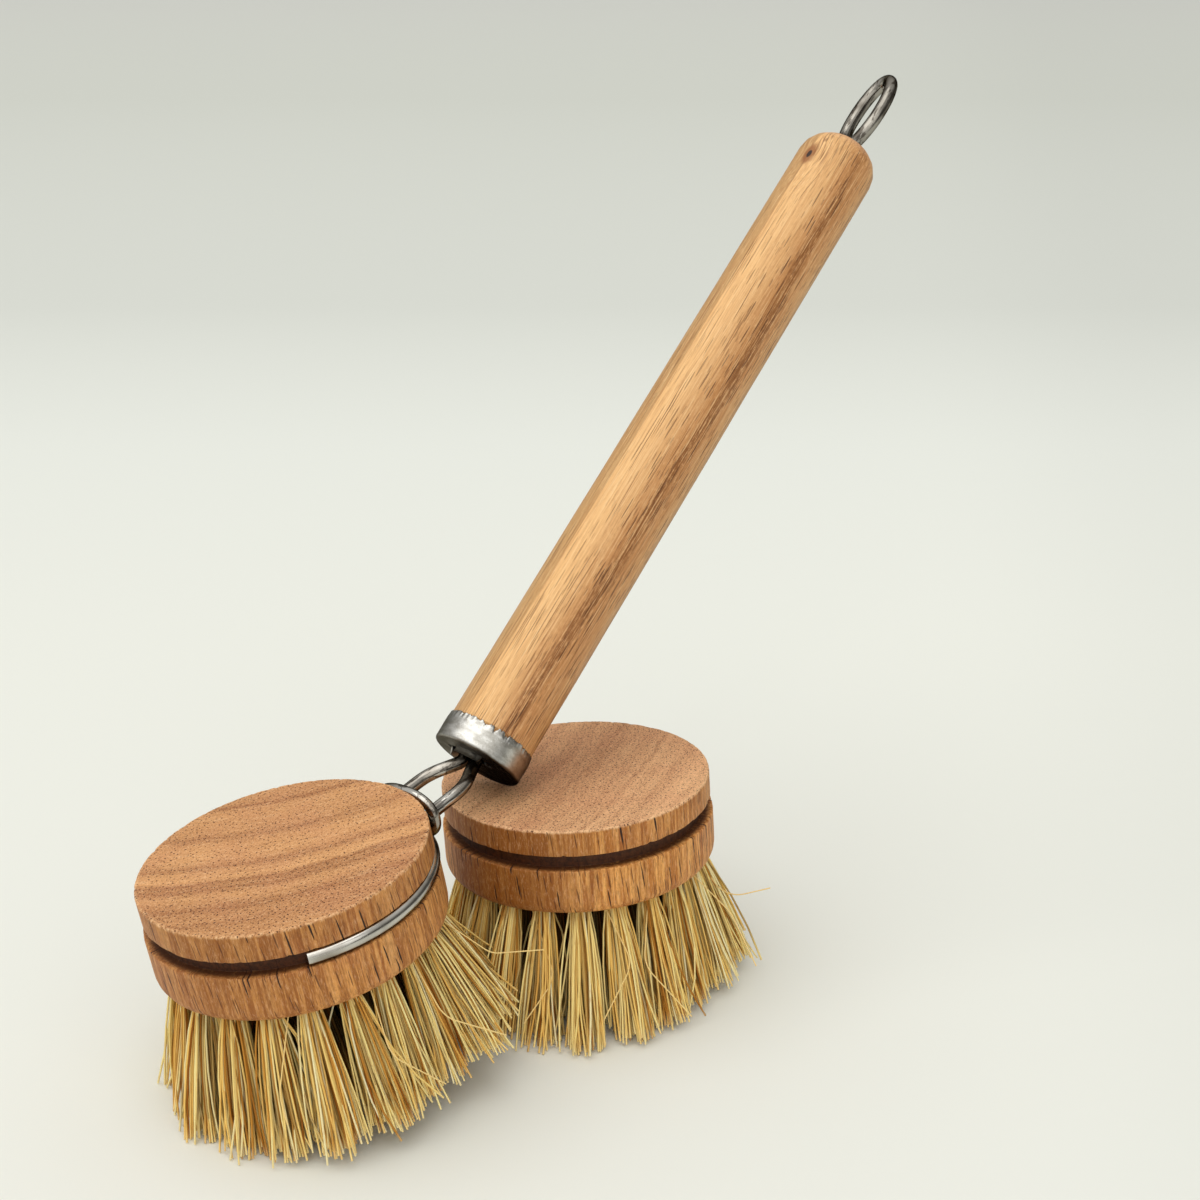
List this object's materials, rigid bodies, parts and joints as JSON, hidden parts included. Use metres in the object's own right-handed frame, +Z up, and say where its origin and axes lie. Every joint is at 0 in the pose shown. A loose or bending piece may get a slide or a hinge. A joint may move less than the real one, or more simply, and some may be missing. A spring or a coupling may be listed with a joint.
{
  "type": "dish brush",
  "caption": "Wooden dish brush with wire arms, a sliding locking link and a round replaceable bristle head, leaning on its spare head.",
  "frame": {"origin": "on the floor under the middle of the set's bounding box", "axes": "+Z up, +Y away from the viewer of the picture, +X to the viewer's right; stored as pictured, the brush leaning on its spare head"},
  "size_m": [0.1394, 0.1532, 0.1606],
  "materials": {
    "head_wood": "unvarnished reddish hardwood, fine sanded",
    "handle_wood": "unvarnished golden hardwood, fine sanded",
    "steel": "polished spring steel wire",
    "tinplate": "satin tinned steel sheet",
    "bristle": "stiff straw-coloured plant fibre"
  },
  "bodies": {
    "handle": {"handle": "handle_wood", "ferrule": "tinplate", "hanging_eye": "steel"},
    "head": {"head_block": "head_wood", "head_tuft_01": "bristle", "head_tuft_02": "bristle", "head_tuft_03": "bristle", "head_tuft_04": "bristle", "head_tuft_05": "bristle", "head_tuft_06": "bristle", "head_tuft_07": "bristle", "head_tuft_08": "bristle", "head_tuft_09": "bristle", "head_tuft_10": "bristle", "head_tuft_11": "bristle", "head_tuft_12": "bristle", "head_tuft_13": "bristle", "head_tuft_14": "bristle", "head_tuft_15": "bristle", "head_tuft_16": "bristle", "head_tuft_17": "bristle", "head_tuft_18": "bristle", "head_tuft_19": "bristle", "head_tuft_20": "bristle", "head_inner_bristles": "bristle"},
    "left_arm": {"arm_left": "steel"},
    "right_arm": {"arm_right": "steel"},
    "link": {"locking_link": "steel"},
    "spare_head": {"spare_block": "head_wood", "spare_tuft_01": "bristle", "spare_tuft_02": "bristle", "spare_tuft_03": "bristle", "spare_tuft_04": "bristle", "spare_tuft_05": "bristle", "spare_tuft_06": "bristle", "spare_tuft_07": "bristle", "spare_tuft_08": "bristle", "spare_tuft_09": "bristle", "spare_tuft_10": "bristle", "spare_tuft_11": "bristle", "spare_tuft_12": "bristle", "spare_tuft_13": "bristle", "spare_tuft_14": "bristle", "spare_tuft_15": "bristle", "spare_tuft_16": "bristle", "spare_tuft_17": "bristle", "spare_tuft_18": "bristle", "spare_tuft_19": "bristle", "spare_tuft_20": "bristle", "spare_inner_bristles": "bristle"}
  },
  "joints": [
    {"name": "head_spin", "type": "hinge", "parent": "handle", "child": "head", "pos_m": [-0.04507, -0.05162, 0.04371], "axis": [-0.1639, -0.0675, 0.9842], "continuous": true},
    {"name": "link_slide", "type": "slide", "parent": "handle", "child": "link", "axis": [0.6719, 0.7037, 0.231], "range_m": [0, 0.007]},
    {"name": "left_arm_spread", "type": "hinge", "parent": "handle", "child": "left_arm", "pos_m": [-0.01047, -0.01809, 0.05069], "axis": [-0.1639, -0.0675, 0.9842], "range_deg": [0, 0.9]},
    {"name": "right_arm_spread", "type": "hinge", "parent": "handle", "child": "right_arm", "pos_m": [-0.01267, -0.01591, 0.05047], "axis": [0.1639, 0.0675, -0.9842], "range_deg": [0, 0.9]},
    {"name": "spare_slide", "type": "slide", "parent": "handle", "child": "spare_head", "axis": [0.776, 0.6307, 0], "range_m": [0, 0.04]}
  ],
  "couplings": [
    {"joint": "left_arm_spread", "follows": "link_slide", "rad_per_m": 2.1817},
    {"joint": "right_arm_spread", "follows": "link_slide", "rad_per_m": 2.1817}
  ]
}
